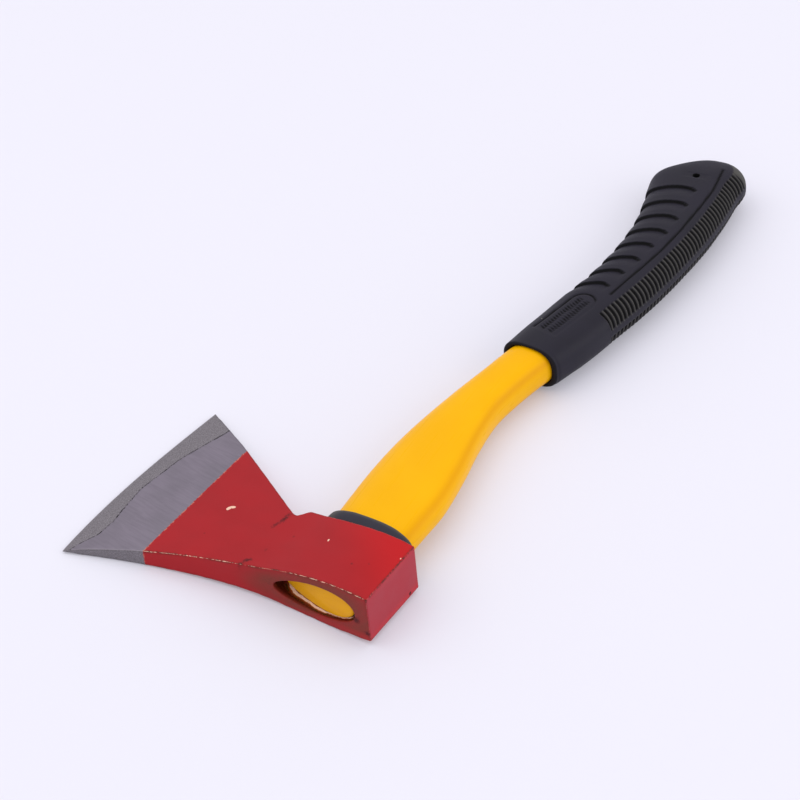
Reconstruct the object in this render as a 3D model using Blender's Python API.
# Hatchet for a fire kit, lying on its side: a forged head with a flared bit and an oval eye, a moulded
# plastic handle over a fibreglass core, a rubber collar under the head and a rubber sleeve as the grip.
# The design is drawn flat and then laid down. In the drawing X runs along the handle from the head to
# the grip, Y from the poll to the cutting edge, and Z = 0 is the plane that halves the thickness.
import bpy
import numpy as np
from math import pi, radians
from mathutils import Matrix, Vector

MM = 0.001                 # one millimetre of the drawing, in metres
GAP = 0.3                  # clearance between pieces that touch on the real tool, mm

# Head, mm
HEAD_HEIGHT = 38.5         # length of the eye, along the handle
POLL_CORNER = 0.8          # radius of the worn corners
NOTCH_START = 55.0         # the block ends here and steps in to the beard
NOTCH_END = 61.0
NOTCH_DEPTH = 2.5
TOE = (-26.4, 144.0)       # ends of the cutting edge
HEEL = (81.8, 137.9)
EDGE_BULGE = 2.7           # how far the cutting edge bows out from a straight line
EDGE_LEAN = 0.85           # under 1, the bow is fuller towards the toe
SWEEP_START = 25.0         # the eye side starts to sweep towards the toe here
CHEEK_POINTS = 13          # points across each cheek
# distance from the poll and thickness there: the cheeks swell round the eye, then wedge to the edge
HEAD_THICKNESS = ((0, 23.2), (8, 25.4), (16, 26.1), (26, 25.2), (40, 22.0), (54, 17.3), (66, 14.6),
                  (80, 12.5), (96, 10.4), (112, 8.0), (128, 5.2), (138, 3.2), (145, 0.7))
HEAD_ROWS = (0, 0.8, 4, 8, 12, 16, 21, 26, 33, 40, 47, NOTCH_START, 58, NOTCH_END,
             66, 73, 80, 88, 96, 104, 112, 120, 128, 134, 138, 142, 145)
BIT_LENGTH = 84.0          # from the notch to the nominal edge

# Eye and tenon, mm
EYE_MIDDLE = 27.8
EYE_HALF_LENGTH = 20.7
EYE_HALF_WIDTH = 8.2
EGG = 0.22                 # how much narrower the eye is towards the bit
TENON_MIDDLE = 27.4
TENON_HALF_LENGTH = 19.0
TENON_HALF_WIDTH = 7.6
TENON_RECESS = 1.5         # the handle's end stops this far inside the eye
GLUE_START, GLUE_END = 7.0, 36.0

# Collar, mm
COLLAR_HEIGHT = 7.0
COLLAR_WALL = 1.8

# Handle sections, mm: front x, y (bit side), back x, y, and half the thickness
JACKET_NECK = ((39.1, 46.7, 39.1, 7.4, 8.9), (42.0, 47.3, 42.0, 7.7, 9.1), (47.0, 47.6, 46.5, 7.9, 9.3),
               (60.0, 48.6, 59.5, 8.0, 9.6), (77.0, 49.8, 76.0, 8.5, 9.8), (97.0, 49.9, 98.5, 12.4, 9.8),
               (116.5, 48.3, 117.5, 16.8, 9.8), (139.6, 45.0, 138.4, 20.0, 9.8),
               (158.8, 41.7, 155.2, 19.2, 9.7), (174.0, 39.4, 170.0, 17.0, 9.6),
               (181.0, 38.0, 179.0, 15.2, 9.5), (188.0, 36.6, 185.5, 14.2, 9.0),
               (205.0, 33.6, 201.0, 12.0, 8.8), (226.0, 29.8, 222.2, 8.7, 8.6),
               (241.4, 27.3, 238.6, 6.0, 8.5), (257.5, 26.0, 256.5, 4.2, 8.5),
               (274.7, 26.0, 275.3, 3.8, 8.5), (293.5, 27.4, 296.0, 4.6, 8.5),
               (308.7, 29.6, 312.3, 6.2, 8.5), (317.5, 31.0, 321.5, 7.8, 8.4))
GRIP_SECTIONS = ((178.5, 41.3, 178.0, 12.1, 11.3), (192.5, 40.1, 188.5, 9.3, 11.3),
                 (205.8, 38.3, 200.2, 6.4, 11.3), (227.0, 35.5, 221.0, 3.0, 11.4),
                 (242.0, 33.3, 237.8, 0.3, 11.5), (257.8, 32.4, 256.2, -1.6, 11.5),
                 (274.5, 32.7, 275.5, -2.7, 11.5), (293.5, 35.0, 296.2, -3.0, 11.5),
                 (308.0, 38.9, 313.0, -2.1, 11.4), (319.0, 42.5, 325.5, -0.9, 11.3),
                 (328.5, 45.1, 335.5, 0.6, 11.2), (334.5, 44.2, 342.0, 1.2, 11.0),
                 (341.0, 39.6, 347.0, 2.8, 10.2), (347.5, 33.5, 351.0, 6.4, 8.8),
                 (352.6, 27.6, 354.0, 11.5, 6.4), (355.6, 22.5, 355.6, 16.8, 2.8))
CORE_HALF_LENGTH = 6.0     # half the core's oval section, across and through the handle
CORE_HALF_WIDTH = 4.0
CORE_IN_EYE = (9.0, 20.0, 30.0)   # x of the core's sections inside the head
JACKET_SQUARENESS = 2.5    # power of the section's oval: 2 is an ellipse, more is squarer
GRIP_SQUARENESS = 2.7
HOLE_PLACE = (334.0, 21.0)
HOLE_RADIUS = 1.8
GRIP_LIP = 1.2             # how far the sleeve's mouth is rounded
MOUTH_GAP = 0.5            # the sleeve's mouth stands a little off the handle
BLIND_INSET = 1.0          # rounding at the blind end of a cavity
ELLIPSE = 2.0              # squareness of a plain ellipse
RING_POINTS = 32           # points round every oval section
CUTTER_REACH = 6.0         # how far a cutter stands out of the piece it cuts
SHARP_ANGLE = 35.0         # faces that meet at more than this stay crisp, degrees

# Pose on the floor: it rests on the swell of the cheek, on the cutting edge and on the grip
ROLL = 5.66                # the bit leans down about X, degrees
PITCH = 0.24               # the grip leans down about Y, degrees


def clear_scene():
    """Remove whatever the scene holds."""
    for thing in list(bpy.data.objects):
        bpy.data.objects.remove(thing, do_unlink=True)


def new_collection(name):
    """Make a collection in the scene."""
    collection = bpy.data.collections.new(name)
    bpy.context.scene.collection.children.link(collection)
    return collection


def make_material(name, colour, roughness, metallic=0.0):
    """Make a plain material with the part's colour, roughness and metallic value."""
    material = bpy.data.materials.new(name)
    material.use_nodes = True
    shader = material.node_tree.nodes["Principled BSDF"]
    shader.inputs["Base Color"].default_value = (*colour, 1.0)
    shader.inputs["Roughness"].default_value = roughness
    shader.inputs["Metallic"].default_value = metallic
    return material


def smooth_rows(rows, steps):
    """Carry a smooth curve through the rows of a table, with steps rows between neighbours."""
    table = np.array(rows, float)
    padded = np.vstack([2 * table[0] - table[1], table, 2 * table[-1] - table[-2]])
    out = []
    for i in range(1, len(padded) - 2):
        a, b, c, d = padded[i - 1:i + 3]
        for step in range(steps):
            t = step / steps
            out.append(b + 0.5 * t * (c - a + t * (2 * a - 5 * b + 4 * c - d + t * (3 * (b - c) + d - a))))
    out.append(table[-1])
    return np.array(out)


def oval(half_length, half_width, power=2.0, egg=0.0, points=RING_POINTS):
    """Section outline as pairs: along the section, and through its thickness."""
    angle = np.arange(points) * 2 * pi / points
    along = np.sign(np.cos(angle)) * np.abs(np.cos(angle)) ** (2 / power)
    through = np.sign(np.sin(angle)) * np.abs(np.sin(angle)) ** (2 / power)
    return np.column_stack([half_length * along, half_width * through * (1 - egg * np.cos(angle))])


def rail_ring(row, power, shrink=0.0):
    """Ring of points between a front and a back point, drawn in by shrink on every side."""
    front, back = np.array(row[0:2]), np.array(row[2:4])
    middle, across = (front + back) / 2, front - back
    half_length = np.linalg.norm(across) / 2
    outline = oval(half_length - shrink, row[4] - shrink, power)
    plan = middle + outline[:, :1] * across / (2 * half_length)
    return np.column_stack([plan, outline[:, 1]])


def eye_ring(x, middle, half_length, half_width):
    """Ring of the eye's egg shape, square to the handle."""
    outline = oval(half_length, half_width, egg=EGG)
    return np.column_stack([np.full(len(outline), x), middle + outline[:, 0], outline[:, 1]])


def loft(name, rings, collection, material, closed=False):
    """Join rings of equal point counts into one solid: capped at both ends, or closed on itself."""
    rings = np.array(rings) * MM
    count, points = rings.shape[:2]
    row = np.arange(points)
    pairs = count if closed else count - 1
    faces = []
    for i in range(pairs):
        here, there = i * points, (i + 1) % count * points
        faces += [(here + a, here + b, there + b, there + a) for a, b in zip(row, np.roll(row, -1))]
    if not closed:
        faces.append(tuple(row[::-1]))
        faces.append(tuple((count - 1) * points + row))
    mesh = bpy.data.meshes.new(name)
    mesh.from_pydata(rings.reshape(-1, 3).tolist(), [], [tuple(int(i) for i in face) for face in faces])
    mesh.materials.append(material)
    mesh.shade_smooth()
    mesh.set_sharp_from_angle(angle=radians(SHARP_ANGLE))
    thing = bpy.data.objects.new(name, mesh)
    collection.objects.link(thing)
    return thing


def cut(thing, cutter):
    """Take the cutter out of the thing."""
    boolean = thing.modifiers.new("cut_" + cutter.name, "BOOLEAN")
    boolean.operation = "DIFFERENCE"
    boolean.solver = "EXACT"
    boolean.object = cutter
    cutter.hide_render = True
    cutter.display_type = "WIRE"


def toe_side(y):
    """x of the head's eye side: straight past the eye, then a parabola out to the toe."""
    sweep = max(0.0, y - SWEEP_START) / (TOE[1] - SWEEP_START)
    return TOE[0] * sweep ** 2


def heel_side(y):
    """x of the head's handle side: straight past the eye, a step in, then a straight beard."""
    if y <= NOTCH_START:
        return HEAD_HEIGHT
    notch = HEAD_HEIGHT - NOTCH_DEPTH
    if y <= NOTCH_END:
        return HEAD_HEIGHT + (notch - HEAD_HEIGHT) * (y - NOTCH_START) / (NOTCH_END - NOTCH_START)
    return notch + (HEEL[0] - notch) * (y - NOTCH_END) / (HEEL[1] - NOTCH_END)


def cutting_edge(q):
    """y of the cutting edge from the toe, q = 0, to the heel, q = 1."""
    return TOE[1] + (HEEL[1] - TOE[1]) * q + EDGE_BULGE * np.sin(pi * q ** EDGE_LEAN)


def head_ring(y, thickness):
    """Ring round the head: across the upper cheek, down, back across the lower cheek, and up."""
    q = np.linspace(0, 1, CHEEK_POINTS)
    bit = max(0.0, y - NOTCH_END) / BIT_LENGTH
    rows = np.full_like(q, y) if bit == 0 else NOTCH_END + bit * (cutting_edge(q) - NOTCH_END)
    toe, heel = toe_side(rows[0]), heel_side(rows[-1])
    corner = min(POLL_CORNER, thickness / 4)
    inset = POLL_CORNER if y == 0 else 0.0
    top = thickness / 2 - inset
    x = toe + inset + (heel - toe - 2 * inset) * q
    x[0] += corner
    x[-1] -= corner
    upper = np.column_stack([x, rows, np.full_like(q, top)])
    lower = upper[::-1] * (1, 1, -1)
    heel_wall = [(heel - inset, rows[-1], side * (top - corner)) for side in (1, -1)]
    toe_wall = [(toe + inset, rows[0], side * (top - corner)) for side in (-1, 1)]
    return np.vstack([upper, heel_wall, lower, toe_wall])


def make_head(collection, cutters, material):
    """Forged head: lofted from the poll to the cutting edge, with the oval eye cut through it."""
    table = smooth_rows(HEAD_THICKNESS, 8)
    thickness = np.interp(HEAD_ROWS, table[:, 0], table[:, 1])
    rings = [head_ring(y, t) for y, t in zip(HEAD_ROWS, thickness)]
    head = loft("axe_head", rings, collection, material)
    ends = (-CUTTER_REACH, HEAD_HEIGHT + CUTTER_REACH)
    eye = loft("eye_cutter", [eye_ring(x, EYE_MIDDLE, EYE_HALF_LENGTH, EYE_HALF_WIDTH) for x in ends],
               cutters, material)
    cut(head, eye)
    return head


def core_row(row):
    """Row for the fibreglass core: the handle's middle and lean, with the core's own oval."""
    front, back = np.array(row[0:2]), np.array(row[2:4])
    reach = CORE_HALF_LENGTH * (front - back) / np.linalg.norm(front - back)
    middle = (front + back) / 2
    return (*(middle + reach), *(middle - reach), CORE_HALF_WIDTH)


def core_rows():
    """Rows of the core, from inside the eye to the end of the tang."""
    front, back = TENON_MIDDLE + TENON_HALF_LENGTH, TENON_MIDDLE - TENON_HALF_LENGTH
    in_eye = [(x, front, x, back, TENON_HALF_WIDTH) for x in CORE_IN_EYE]
    return [core_row(row) for row in in_eye + list(JACKET_NECK)]


def make_jacket(collection, material):
    """Plastic handle: a tenon with a rounded end, the swelling body, and a hollow tang for the core."""
    rounded_end = ((TENON_RECESS, 1.0), (TENON_RECESS + 0.3, 0.3), (TENON_RECESS + 0.9, 0.0))
    rings = [eye_ring(x, TENON_MIDDLE, TENON_HALF_LENGTH - inset, TENON_HALF_WIDTH - inset)
             for x, inset in rounded_end]
    rings.append(eye_ring(HEAD_HEIGHT + GAP, TENON_MIDDLE, TENON_HALF_LENGTH, TENON_HALF_WIDTH))
    rings += [rail_ring(row, JACKET_SQUARENESS) for row in smooth_rows(JACKET_NECK, 2)]
    cavity = core_rows()
    rings += [rail_ring(row, ELLIPSE, -GAP) for row in cavity[::-1]]
    front_x, front_y, back_x, back_y, half_width = cavity[0]
    blind = (front_x - GAP, front_y, back_x - GAP, back_y, half_width)
    rings.append(rail_ring(blind, ELLIPSE, BLIND_INSET))
    return loft("handle_jacket", rings, collection, material)


def make_core(collection, material):
    """Fibreglass core: an oval rod that follows the handle and ends flush with the tang."""
    rings = [rail_ring(row, ELLIPSE) for row in core_rows()]
    return loft("handle_core", rings, collection, material)


def make_glue(collection, material):
    """Epoxy sleeve between the tenon and the wall of the eye, set a little way in from both ends."""
    outer = [eye_ring(x, EYE_MIDDLE, EYE_HALF_LENGTH - GAP / 2, EYE_HALF_WIDTH - GAP / 2)
             for x in (GLUE_START, GLUE_END)]
    inner = [eye_ring(x, TENON_MIDDLE, TENON_HALF_LENGTH + GAP / 2, TENON_HALF_WIDTH + GAP / 2)
             for x in (GLUE_END, GLUE_START)]
    return loft("eye_adhesive", outer + inner, collection, material, closed=True)


def jacket_row(front_x, back_x):
    """Row of the handle's outside between its front at front_x and its back at back_x."""
    fine = smooth_rows(JACKET_NECK, 8)
    front_y = np.interp(front_x, fine[:, 0], fine[:, 1])
    back_y, half_thickness = (np.interp(back_x, fine[:, 2], fine[:, i]) for i in (3, 4))
    return front_x, front_y, back_x, back_y, half_thickness


def make_collar(collection, material):
    """Rubber collar: a ring round the neck, pushed up against the head, with a rounded shoulder."""
    low = HEAD_HEIGHT + GAP
    outside = GAP + COLLAR_WALL
    top = low + COLLAR_HEIGHT
    shoulder = [(low, outside - 0.3), (low + 0.5, outside), (top - 1.5, outside), (top - 0.4, outside - 0.6),
                (top, outside - 1.2)]
    bore = [(x, GAP) for x in np.linspace(top, low, 6)]
    rings = [rail_ring(jacket_row(x, x), JACKET_SQUARENESS, -stand_off) for x, stand_off in shoulder + bore]
    return loft("collar", rings, collection, material, closed=True)


def make_hole_cutter(cutters):
    """Drill for the hole near the butt, square to the drawing's plane."""
    deep = 2 * (GRIP_SECTIONS[0][4] + CUTTER_REACH)
    bpy.ops.mesh.primitive_cylinder_add(vertices=24, radius=HOLE_RADIUS * MM, depth=deep * MM,
                                        location=(HOLE_PLACE[0] * MM, HOLE_PLACE[1] * MM, 0))
    hole = bpy.context.object
    hole.name = "hole_cutter"
    for home in hole.users_collection:
        home.objects.unlink(hole)
    cutters.objects.link(hole)
    return hole


def make_grip(collection, cutters, material):
    """Rubber sleeve: hollow for the tang up to a blind end, with a swelled butt and a small hole."""
    mouth = GRIP_SECTIONS[0]
    tang = [row for row in JACKET_NECK if row[2] > mouth[2]]
    front_x, front_y, back_x, back_y, half_thickness = tang[-1]
    blind = (front_x + GAP, front_y, back_x + GAP, back_y, half_thickness)
    cavity = [rail_ring(blind, JACKET_SQUARENESS, BLIND_INSET)]
    cavity += [rail_ring(row, JACKET_SQUARENESS, -GAP) for row in tang[::-1]]
    cavity.append(rail_ring(jacket_row(mouth[0], mouth[2]), JACKET_SQUARENESS, -MOUTH_GAP))
    outside = [rail_ring(row, GRIP_SQUARENESS) for row in smooth_rows(GRIP_SECTIONS, 2)]
    lip = rail_ring(mouth, GRIP_SQUARENESS, GRIP_LIP / 2)
    outside[0] = outside[0] + (GRIP_LIP, 0, 0)
    rings = cavity + [lip] + outside
    grip = loft("rubber_grip", rings, collection, material)
    cut(grip, make_hole_cutter(cutters))
    return grip


def lay_down(things, cutters):
    """Parent everything to an empty, roll and pitch it, and put the lowest point of the things on Z = 0."""
    holder = bpy.data.objects.new("axe_axis", None)
    bpy.context.scene.collection.objects.link(holder)
    turn = Matrix.Rotation(radians(PITCH), 4, "Y") @ Matrix.Rotation(radians(-ROLL), 4, "X")
    holder.rotation_euler = turn.to_euler()
    corners = [turn @ vertex.co for thing in things for vertex in thing.data.vertices]
    low = Vector([min(corner[i] for corner in corners) for i in range(3)])
    high = Vector([max(corner[i] for corner in corners) for i in range(3)])
    holder.location = (-(low.x + high.x) / 2, -(low.y + high.y) / 2, -low.z)
    for thing in things + cutters:
        thing.parent = holder


def main():
    """Build the hatchet."""
    clear_scene()
    parts = new_collection("fire_axe")
    cutters = new_collection("cutters")
    enamel = make_material("red_enamel", (0.42, 0.035, 0.04), 0.35)
    plastic = make_material("yellow_plastic", (0.95, 0.5, 0.01), 0.3)
    fibreglass = make_material("fibreglass", (0.62, 0.58, 0.45), 0.5)
    epoxy = make_material("epoxy", (0.25, 0.12, 0.03), 0.2)
    rubber = make_material("black_rubber", (0.04, 0.04, 0.05), 0.6)
    collar_rubber = make_material("collar_rubber", (0.045, 0.045, 0.055), 0.5)
    head = make_head(parts, cutters, enamel)
    jacket = make_jacket(parts, plastic)
    core = make_core(parts, fibreglass)
    glue = make_glue(parts, epoxy)
    collar = make_collar(parts, collar_rubber)
    grip = make_grip(parts, cutters, rubber)
    lay_down([head, jacket, core, glue, collar, grip], list(cutters.objects))


main()
